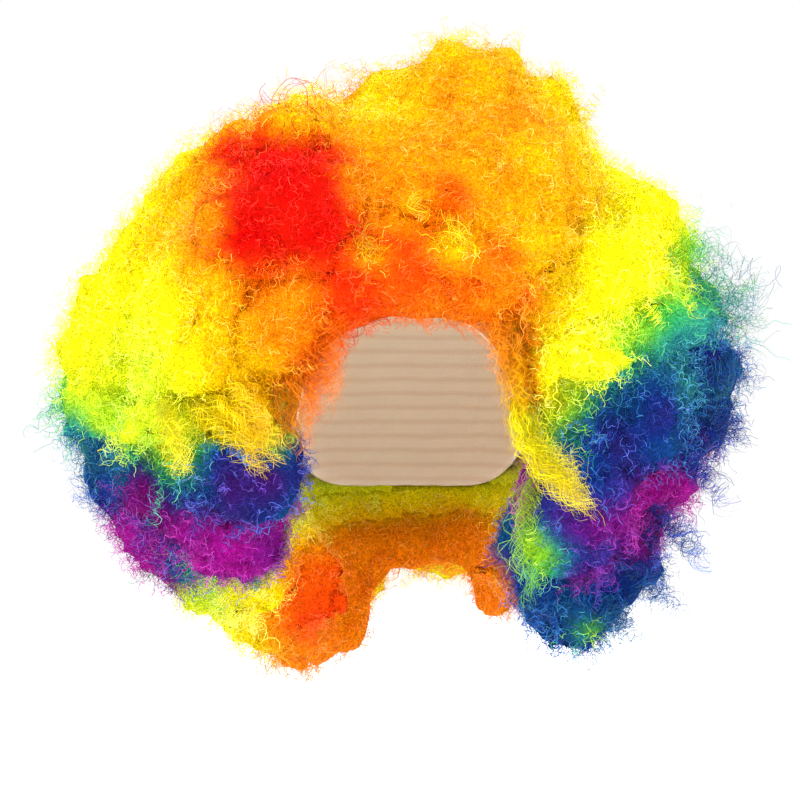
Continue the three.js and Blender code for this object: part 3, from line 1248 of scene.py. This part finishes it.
@dataclass
class HairRow:
    """One row of hair: a matted backing and the curls that grow out of it.

    Its dye runs from top, beside the row above, to bottom, beside the row below, as places on the chart.
    """

    node: Solid
    top: float
    bottom: float
    above: Optional[Solid] = None
    below: Optional[Solid] = None
    pulls: tuple[Pull, ...] = ()
    locks: tuple[LooseLock, ...] = ()
    parts: int = 1
    seed: int = 1
    drift: float = 0.03
    # Painted light: how far the strands' lightness is spread, for darker painted shade and brighter painted
    # highlights, how much it is raised, and how dark the backing is painted as shade.
    painted_light_contrast: float = 1.0
    painted_light_lift: float = 0.08
    painted_shade_mat_light: float = 1.0
    fade: float = 60 * MM
    warp: float = 12 * MM
    warp_size: float = 42 * MM
    blotch_size: float = 22 * MM
    thick: float = 3 * MM

    @property
    def mat_name(self) -> str:
        """The backing's name."""
        return self.node.value + "_mat"

    def dye_at(self, form: WigForm, points: np.ndarray) -> np.ndarray:
        """The place on the dye chart for points of this row.

        Args:
            form: The wig's solids.
            points: The points.

        Returns:
            A place from 0 to 1 for each point.
        """
        spots = points + self.warp * wander(points, self.warp_size)
        far = np.full(len(points), self.fade)
        up = form.distance(self.above, spots) if self.above else far
        down = form.distance(self.below, spots) if self.below else far
        dye = self.top + (self.bottom - self.top) * (up / np.maximum(up + down, TINY))
        for pull in self.pulls:
            near = np.exp(-((form.distance(pull.node, points) / pull.reach) ** 2))
            dye = dye + (pull.place - dye) * near
        dye = form.splashed(dye, points)
        return np.clip(dye + self.drift * blotches(points, self.blotch_size), *DYE_LIMITS)

    def mat(self, form: WigForm, backing: np.ndarray, dyes: np.ndarray) -> bpy.types.Mesh:
        """Makes the row's part of the matted backing.

        Args:
            form: The wig's solids.
            backing: The whole backing's corners.
            dyes: The colour at each of them, darkened by painted shade in some rows.

        Returns:
            The mesh, with its dye and painted shade.
        """
        used, faces = form.skin.patch(form.row_number(self.node))
        mesh = bpy.data.meshes.new(self.mat_name)
        mesh.from_pydata(backing[used].tolist(), [], faces.tolist())
        layer = mesh.attributes.new(DYE_AND_SHADE_ATTRIBUTE, "FLOAT_COLOR", "POINT")
        layer.data.foreach_set("color", dyes[used].astype(np.float32).ravel())
        mesh.polygons.foreach_set("use_smooth", np.ones(len(mesh.polygons), bool))
        mesh.update()
        return mesh

    def curls(self, form: WigForm) -> list[StrandMesh]:
        """Grows the row's strands.

        Args:
            form: The wig's solids.

        Returns:
            A mesh of strands for each part of the row.
        """
        rng = np.random.default_rng(self.seed)
        meshes = [StrandMesh() for _ in range(self.parts)]
        for style in CURL_STYLES:
            roots, normals, outward = form.skin.scatter(form.row_number(self.node), style.per_area, rng)
            raised = form.sunk(roots) + normals * (outward * form.lumps(roots))[:, None]
            dye = self.dye_at(form, roots)
            grown = Grower(style, rng).grow(raised, normals, outward, dye, form.hollowed(roots))
            # Painted light: the row's spread and rise of lightness set its painted shade and painted
            # highlights.
            light = MID_LIGHT + self.painted_light_lift + (grown.light - MID_LIGHT) * self.painted_light_contrast
            grown.light = np.clip(light, *LIGHT_LIMITS)
            part = np.repeat((roots[:, 0] > 0).astype(int) % self.parts, style.clump)
            clear = form.in_room(grown.points)
            for index, mesh in enumerate(meshes):
                mesh.add(grown.some((part == index) & clear), rng)
        for lock in self.locks:
            meshes[int(lock.way[0][0] > 0) % self.parts].add(lock.grow(rng), rng)
        return meshes

    def dress_mat(self, mesh: bpy.types.Mesh, matted: bpy.types.Material) -> None:
        """Puts the row's backing into the scene.

        Args:
            mesh: The backing.
            matted: Its finish.
        """
        backing = add_piece(self.mat_name, mesh, self.node.value, matted)
        thick = backing.modifiers.new("thick", "SOLIDIFY")
        thick.thickness = self.thick

    def dress_curls(self, form: WigForm, fibre: bpy.types.Material) -> None:
        """Grows the row's strands and puts them into the scene.

        Args:
            form: The wig's solids.
            fibre: The strands' finish.
        """
        for index, strands in enumerate(self.curls(form)):
            name = self.node.value + "_curls" + ("" if self.parts == 1 else "_" + "rl"[index])
            add_piece(name, strands.build(name), self.node.value, fibre)


@dataclass
class NetCap:
    """The cap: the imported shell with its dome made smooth."""

    name: str = "cap_cloth"
    wall: float = 1.5 * MM
    cuts: int = 3
    inward: float = 0.3 * HOLLOW_ABOVE

    def build(self, form: WigForm, cloth: bpy.types.Material) -> bpy.types.Object:
        """Makes the cap and dresses it.

        Args:
            form: The wig's solids.
            cloth: The cap's finish.

        Returns:
            The cap.
        """
        work = bmesh.new()
        work.from_mesh(form.nodes[Solid.CAP.value].data)
        bmesh.ops.remove_doubles(work, verts=work.verts, dist=WELD)
        bmesh.ops.subdivide_edges(work, edges=work.edges, cuts=self.cuts, use_grid_fill=True)
        work.normal_update()
        centre = Vector(HOLLOW_CENTRE)
        for vertex in work.verts:
            facing = [(face.calc_center_median() - centre).dot(face.normal) for face in vertex.link_faces]
            grow = 0.0 if any(each < -self.inward for each in facing) else self.wall
            vertex.co = centre + self._on_shell(vertex.co - centre, grow)
        mesh = bpy.data.meshes.new(self.name)
        work.to_mesh(mesh)
        work.free()
        mesh.polygons.foreach_set("use_smooth", np.ones(len(mesh.polygons), bool))
        return add_piece(self.name, mesh, Solid.CAP.value, cloth)

    @staticmethod
    def _on_shell(spot: Vector, grow: float) -> Vector:
        """Moves a point along its own direction onto the dome.

        Args:
            spot: The point, from the hollow's centre.
            grow: How much larger than the hollow the dome is.

        Returns:
            The point on the dome.
        """
        width, length = HOLLOW_HALF_WIDTH + grow, HOLLOW_HALF_LENGTH + grow
        depth = (HOLLOW_ABOVE if spot.z > 0 else HOLLOW_BELOW) + grow
        return spot / Vector((spot.x / width, spot.y / length, spot.z / depth)).length


@dataclass(frozen=True)
class Lamp:
    """A square soft light: its place and size in metres, and its power in watts."""

    name: str
    spot: Place
    size: float
    power: float


@dataclass
class Studio:
    """The white floor, the soft lights and the camera."""

    floor: float = -430 * MM
    reach: float = 6.0
    distance: float = 1.3
    frame_width: float = 480 * MM
    aim: Place = (-4.2 * MM, 0.0, -102.6 * MM)
    sensor: float = 36.0
    daylight: float = 1.0
    lamps: tuple[Lamp, ...] = (
        Lamp("key", (-0.9, -1.6, 1.1), 0.9, 40),
        Lamp("fill", (1.4, -1.3, 0.4), 1.2, 20),
        Lamp("back", (0.2, 1.8, 1.0), 1.2, 20),
    )

    def build(self, paper: bpy.types.Material) -> None:
        """Sets the stage.

        Args:
            paper: The floor's finish.
        """
        self._lay_floor(paper)
        for lamp in self.lamps:
            self._hang(lamp)
        self._light_world()
        self._place_camera()
        bpy.context.scene.view_settings.view_transform = "Standard"

    def _lay_floor(self, paper: bpy.types.Material) -> None:
        """Lays the floor.

        Args:
            paper: Its finish.
        """
        work = bmesh.new()
        bmesh.ops.create_grid(work, x_segments=2, y_segments=2, size=self.reach)
        bmesh.ops.translate(work, verts=work.verts, vec=(0, 0, self.floor))
        mesh = bpy.data.meshes.new("floor")
        work.to_mesh(mesh)
        work.free()
        mesh.materials.append(paper)
        floor = bpy.data.objects.new("floor", mesh)
        bpy.context.scene.collection.objects.link(floor)

    def _hang(self, lamp: Lamp) -> None:
        """Hangs a light that faces the wig.

        Args:
            lamp: The light.
        """
        light = bpy.data.lights.new(lamp.name, "AREA")
        light.size = lamp.size
        light.energy = lamp.power
        holder = bpy.data.objects.new(lamp.name, light)
        holder.location = lamp.spot
        holder.rotation_euler = (Vector(self.aim) - Vector(lamp.spot)).to_track_quat("-Z", "Y").to_euler()
        bpy.context.scene.collection.objects.link(holder)

    def _light_world(self) -> None:
        """Lights the studio evenly from all sides."""
        world = bpy.data.worlds.new("studio")
        world.use_nodes = True
        back = world.node_tree.nodes["Background"]
        back.inputs["Color"].default_value = grey(1.0)
        back.inputs["Strength"].default_value = self.daylight
        bpy.context.scene.world = world

    def _place_camera(self) -> None:
        """Puts the camera level in front of the wig."""
        camera = bpy.data.cameras.new("camera")
        camera.sensor_width = self.sensor
        camera.lens = self.sensor * self.distance / self.frame_width
        holder = bpy.data.objects.new("camera", camera)
        holder.location = Vector(self.aim) - Vector((0, self.distance, 0))
        holder.rotation_euler = (math.pi / 2, 0, 0)
        bpy.context.scene.collection.objects.link(holder)
        bpy.context.scene.camera = holder


# Spots of other dye. A later one lies over an earlier one, and left is where x is below 0.
# Columns: x, y, z and reach in millimetres, and the place on the dye chart.
SPLASHES = tuple(Splash(*row) for row in (
    # Patches down the left
    (-132, -74, 8, 42, 0.43),
    (-72, -100, -92, 24, 0.33),
    (-154, -99, -108, 45, 0.56),
    (-96, -101, -119, 24, 0.51),
    (-85, -134, -151, 26, 0.89),
    (-160, -60, -162, 24, 0.985),
    (-112, -125, -160, 16, 0.83),
    (-156, -45, -194, 22, 0.88),
    (-54, -30, -220, 38, 0.20),
    # Patches on the right
    (92, -139, -76, 42, 0.52),
    (84, -107, -114, 26, 0.53),
    (72, -95, -92, 14, 0.34),
    (173, -20, -85, 46, 0.82),
    (195, -20, -38, 42, 0.75),
    # The left edge, the top of the red tuft and the left again
    (-212, -30, -104, 17, 0.78),
    (-188, -40, -126, 20, 0.79),
    (-100, -58, 38, 22, 0.09),
    (-72, -86, 38, 22, 0.08),
    (-50, -92, 36, 16, 0.09),
    (-102, -64, 22, 18, 0.09),
    (-114, -124, -12, 15, 0.34),
    (-94, -122, -66, 28, 0.43),
    (-86, -106, -104, 26, 0.44),
    (-167, -44, -132, 26, 0.79),
    (-130, -40, -222, 30, 0.575),
    (-88, -50, -226, 24, 0.49),
    # The right and its edge, with one patch at the left
    (135, -94, -118, 34, 0.825),
    (152, -67, -66, 22, 0.78),
    (174, -50, -62, 22, 0.80),
    (140, -84, -50, 11, 0.69),
    (184, -36, -6, 18, 0.57),
    (174, -40, -27, 22, 0.525),
    (-171, -64, -115, 18, 0.60),
    (92, -75, -184, 24, 0.845),
    (88, -85, -158, 19, 0.85),
    # Round the red tuft and along the fringe
    (-29, -132, 28, 12, 0.36),
    (-28, -132, 10, 10, 0.24),
    (-65, -90, 57, 16, 0.42),
    (-44, -102, 54, 15, 0.40),
    (-90, -48, 62, 15, 0.41),
    (-118, -58, 20, 17, 0.40),
    (-112, -118, -2, 14, 0.38),
    (-64, -126, -52, 26, 0.33),
    (-28, -126, -44, 20, 0.15),
    (21, -119, 6, 16, 0.22),
    (-9, -132, -18, 13, 0.20),
    # The low right
    (137, -49, -163, 36, 0.985),
    (99, -95, -142, 32, 0.84),
    (69, -83, -193, 20, 0.62),
    (108, -53, -245, 14, 0.60),
    # The dome and its front
    (-12, -119, 12, 28, 0.35),
    (-27, -54, 64, 38, 0.46),
    (114, -70, 36, 28, 0.48),
    (26, -20, 110, 34, 0.455),
    (-10, -24, 94, 26, 0.46),
    (66, -20, 94, 28, 0.45),
    (106, -22, 72, 28, 0.475),
    # Flame red and golden patches on the fringe
    (46, -116, -28, 16, 0.22),
    (60, -108, -42, 12, 0.24),
    (-4, -134, -33, 22, 0.20),
    (26, -125, -16, 16, 0.46),
    (-20, -138, -20, 12, 0.42),
    (3, -122, 2, 12, 0.43),
    # The back and the sides towards it
    (64, 183, -4, 42, 0.465),
    (-85, 174, 0, 44, 0.46),
    (0, 205, -55, 30, 0.555),
    (-149, 147, -30, 40, 0.47),
    (149, 138, -10, 42, 0.47),
    (32, 120, 80, 40, 0.42),
    (-53, 129, 70, 38, 0.43),
    (75, 183, -170, 30, 0.92),
    (-85, 183, -160, 28, 0.86),
    (138, 160, -130, 30, 0.78),
    (-160, 142, -130, 28, 0.79),
    (198, 84, -50, 30, 0.56),
    (-198, 84, -40, 30, 0.555),
))

# Columns: x, y, z, reach and depth in millimetres.
HOLLOWS = tuple(Hollow(*row) for row in (
    (206, -14, -42, 34, 30),
    (-64, -24, 80, 28, 20),
    (-66, 20, 84, 28, 18),
    (-208, -30, -102, 24, 12),
    (-135, -40, -225, 36, 6),
    (82, -40, -246, 24, 10),
))

# Columns: x, z, reach and height in millimetres.
SWELLS = tuple(Swell(*row) for row in (
    (71, 93, 26, 8),
    (188, -67, 24, 11),
    (176, -124, 22, -8),
    (154, -178, 18, -7),
    (148, -200, 18, 8),
    (66, -240, 24, -16),
    (-99, -238, 24, -8),
    (-177, -169, 20, 6),
    (-216, -89, 24, 8),
    (-205, -45, 20, -5),
    (-148, 28, 26, 7),
    (-46, 76, 24, -8),
))

# Kinds of loose lock. Each lock then gives its way from root to tip, its dyes there and its ringlets.
HANGING = partial(
    LooseLock, strands=14, radius=8, curl=3.2, fuzz=2.2, width=0.28, light=(0.3, 0.8), crimp=1.7
)
FULL = partial(HANGING, radius=9, curl=3.4, fuzz=2.4)
SHORT = partial(HANGING, strands=12, radius=7)
COMBED = partial(LooseLock, strands=14, radius=6, curl=3.0, turns=4.4, fuzz=1.9, width=0.26, crimp=1.7)
FLUFFY = partial(LooseLock, strands=14, radius=8, curl=3.2, fuzz=2.2, width=0.26, crimp=1.6)
TRAILING = partial(LooseLock, strands=13, radius=8, curl=3.2, fuzz=2.2, width=0.26, crimp=1.8)
AIRY = partial(
    LooseLock, strands=6, radius=14, curl=4.5, turns=3, fuzz=4, width=0.28, light=(0.25, 0.9), crimp=2.5
)
SPRINGY = partial(LooseLock, curl=4.5)
CURLED = partial(LooseLock, curl=4.5, turns=1.8)
LOOPED = partial(LooseLock, strands=3, radius=16, curl=6.0, turns=1.6, fuzz=2.5, light=(0.1, 0.5))

TEMPLE_LOCKS = (
    FULL(((-60, -112, -50), (-50, -104, -88), (-58, -90, -128)), (0.27, 0.33), 9),
    FULL(((-45, -116, -48), (-36, -112, -74), (-44, -100, -104)), (0.25, 0.31), 8),
    FULL(((-72, -110, -60), (-64, -106, -105), (-68, -96, -142)), (0.30, 0.38), 9),
    FULL(((-52, -114, -52), (-44, -106, -82), (-52, -94, -118)), (0.24, 0.30), 8),
    HANGING(((66, -106, -60), (64, -104, -90), (68, -94, -128)), (0.34, 0.42), 8),
    HANGING(((54, -112, -50), (56, -108, -76), (60, -98, -108)), (0.33, 0.40), 6),
    HANGING(((60, -110, -66), (61, -104, -98), (66, -94, -136)), (0.36, 0.47), 7),
)
RIM_LOCKS = (
    SHORT(((36, -120, -46), (51, -116, -56), (60, -102, -96)), (0.29, 0.38), 7),
    SHORT(((18, -128, -38), (28, -128, -52), (44, -114, -66)), (0.26, 0.33), 6),
)
BRIGHT_CURLS = (
    CURLED(((22, -104, -12), (26, -134, -10), (30, -124, -28)), (0.43, 0.50), 5, radius=9, curl=5.0),
    CURLED(((-20, -120, -16), (-20, -146, -13), (-18, -138, -28)), (0.38, 0.46), 3),
    CURLED(((2, -102, 6), (3, -128, 10), (5, -122, -6)), (0.38, 0.46), 3),
)
CHEEK_LOCKS = (
    COMBED(((60, -98, -102), (58, -126, -146), (104, -114, -168)), (0.52, 0.47), 12),
    COMBED(((68, -98, -104), (68, -126, -142), (104, -114, -162)), (0.53, 0.50), 9),
    FLUFFY(((-120, -108, -96), (-104, -146, -114), (-72, -134, -141)), (0.51, 0.46), 9),
    FLUFFY(((-108, -108, -90), (-90, -146, -106), (-65, -129, -134)), (0.50, 0.43), 9),
    FLUFFY(((-130, -108, -102), (-128, -144, -118), (-118, -142, -141)), (0.53, 0.49), 8),
    FLUFFY(((-96, -108, -96), (-86, -142, -116), (-79, -136, -138)), (0.49, 0.44), 7),
)
EDGE_LOCKS = (
    SPRINGY(((160, -40, -80), (192, -35, -80), (210, -20, -96)), (0.80, 0.82)),
    SPRINGY(((160, -30, -70), (186, -20, -64), (206, -6, -78)), (0.78, 0.82)),
    SPRINGY(((165, -45, -100), (190, -50, -110), (198, -40, -132)), (0.82, 0.84)),
    SPRINGY(((150, -60, -130), (174, -62, -142), (186, -50, -162)), (0.83, 0.86)),
    SPRINGY(((140, -50, -165), (162, -52, -180), (172, -40, -202)), (0.86, 0.82)),
    SPRINGY(((120, -55, -195), (144, -56, -208), (154, -42, -228)), (0.83, 0.81)),
    SPRINGY(((110, -55, -215), (126, -56, -230), (132, -42, -248)), (0.82, 0.80)),
)
AIRY_LOCKS = (
    AIRY(((170, -30, -40), (196, -26, -32), (218, -14, -42)), (0.74, 0.79), 8, radius=15),
    AIRY(((168, -10, -52), (196, -6, -50), (220, 2, -58)), (0.75, 0.80), 8),
    AIRY(((150, -40, -18), (172, -34, -6), (192, -24, -10)), (0.63, 0.74), 7, radius=13, light=(0.3, 0.9)),
    AIRY(((160, 10, -30), (188, 12, -16), (208, 16, -26)), (0.72, 0.77), 6),
)
LIME_LOCKS = (
    TRAILING(((76, -66, -140), (64, -96, -172), (62, -86, -212)), (0.58, 0.63), 8),
    TRAILING(((84, -66, -152), (70, -98, -182), (68, -84, -218)), (0.62, 0.66), 7, radius=7),
)
TUFT_LOOPS = (
    LOOPED(((-72, -84, 40), (-80, -76, 58), (-86, -60, 72)), (0.03, 0.1), 7),
    LOOPED(((-58, -86, 42), (-60, -78, 62), (-56, -62, 78)), (0.05, 0.14), 7),
    LOOPED(((-92, -84, 30), (-101, -78, 44), (-107, -66, 54)), (0.05, 0.1), 5, radius=12, curl=5.0),
)

# Each row's spread and rise of strand lightness set its painted shade and highlights, and its mat light sets
# the painted shade of its backing.
ROWS = (
    HairRow(
        Solid.FRINGE, 0.27, 0.31, pulls=(Pull(Solid.RED_TUFT, 0.16, 20 * MM),),
        locks=TEMPLE_LOCKS + BRIGHT_CURLS + RIM_LOCKS, painted_light_contrast=0.85, seed=11,
    ),
    HairRow(Solid.RED_TUFT, 0.07, 0.09, locks=TUFT_LOOPS, painted_light_contrast=0.9, painted_shade_mat_light=0.85, seed=12),
    HairRow(Solid.BLUE_TUFT, 0.83, 0.81, painted_light_contrast=1.8, painted_light_lift=0.03, painted_shade_mat_light=0.6, seed=13),
    HairRow(
        Solid.CROWN, 0.36, 0.425, below=Solid.YELLOW_SIDES, pulls=(Pull(Solid.RED_TUFT, 0.18, 7 * MM),),
        painted_light_contrast=1.1, painted_light_lift=0.02, seed=14,
    ),
    HairRow(
        Solid.YELLOW_SIDES, 0.505, 0.53, above=Solid.CROWN, below=Solid.GREEN_SIDES,
        pulls=(Pull(Solid.FRINGE, 0.33, 22 * MM), Pull(Solid.RED_TUFT, 0.36, 20 * MM)),
        locks=CHEEK_LOCKS, parts=2, painted_light_contrast=0.85, seed=15,
    ),
    HairRow(
        Solid.GREEN_SIDES, 0.56, 0.74, above=Solid.YELLOW_SIDES, below=Solid.BLUE_SIDES, drift=0.05, seed=16,
    ),
    HairRow(
        Solid.BLUE_SIDES, 0.77, 0.88, above=Solid.GREEN_SIDES, below=Solid.PURPLE_SIDES,
        locks=EDGE_LOCKS + AIRY_LOCKS, painted_light_contrast=1.8, painted_light_lift=0.03, painted_shade_mat_light=0.6, drift=0.07, seed=17,
    ),
    HairRow(
        Solid.PURPLE_SIDES, 0.975, 1.0, above=Solid.BLUE_SIDES, below=Solid.LIME_NAPE,
        locks=LIME_LOCKS, painted_light_contrast=1.7, painted_light_lift=0.06, painted_shade_mat_light=0.9, drift=0.08, seed=18,
    ),
    HairRow(
        Solid.LIME_NAPE, 0.585, 0.55, above=Solid.PURPLE_SIDES, below=Solid.YELLOW_NAPE,
        painted_light_contrast=0.8, painted_light_lift=0.3, drift=0.05, seed=19,
    ),
    HairRow(
        Solid.YELLOW_NAPE, 0.53, 0.46, above=Solid.LIME_NAPE, below=Solid.ORANGE_NAPE,
        painted_light_contrast=0.8, painted_light_lift=0.15, drift=0.05, seed=20,
    ),
    HairRow(Solid.ORANGE_NAPE, 0.36, 0.24, above=Solid.YELLOW_NAPE, seed=21),
)
BLENDS = 1


def blended_dyes_with_painted_shade(form: WigForm, backing: np.ndarray) -> np.ndarray:
    """The colour at each corner of the backing, darkened by each row's painted shade and blended where rows
    meet.

    Args:
        form: The wig's solids.
        backing: The backing's corners.

    Returns:
        Linear red, green, blue and alpha for each corner.
    """
    total = np.zeros((len(backing), 4))
    for row in ROWS:
        used = form.skin.patch(form.row_number(row.node))[0]
        # Painted shade: each row's backing colour is darkened by its mat light.
        total[used] += Dye.colours(row.dye_at(form, backing[used])) * np.array(grey(row.painted_shade_mat_light))
    return form.skin.soften(total / np.maximum(total[:, 3:], 1), BLENDS)


def main() -> None:
    """Builds the wig and its stage."""
    logging.basicConfig(level=logging.INFO)
    form = WigForm(frame["nodes"], SPLASHES, HOLLOWS, SWELLS)
    NetCap().build(form, NetClothFinish().material())
    matted = MattedFinish().material()
    fibre = FibreFinish().material()
    backing = form.backing()
    # The backing's dye colours, with painted shade.
    dyes = blended_dyes_with_painted_shade(form, backing)
    for row in ROWS:
        row.dress_mat(row.mat(form, backing, dyes), matted)
        row.dress_curls(form, fibre)
    Studio().build(StudioFinish().material())


if __name__ == "__main__":
    main()
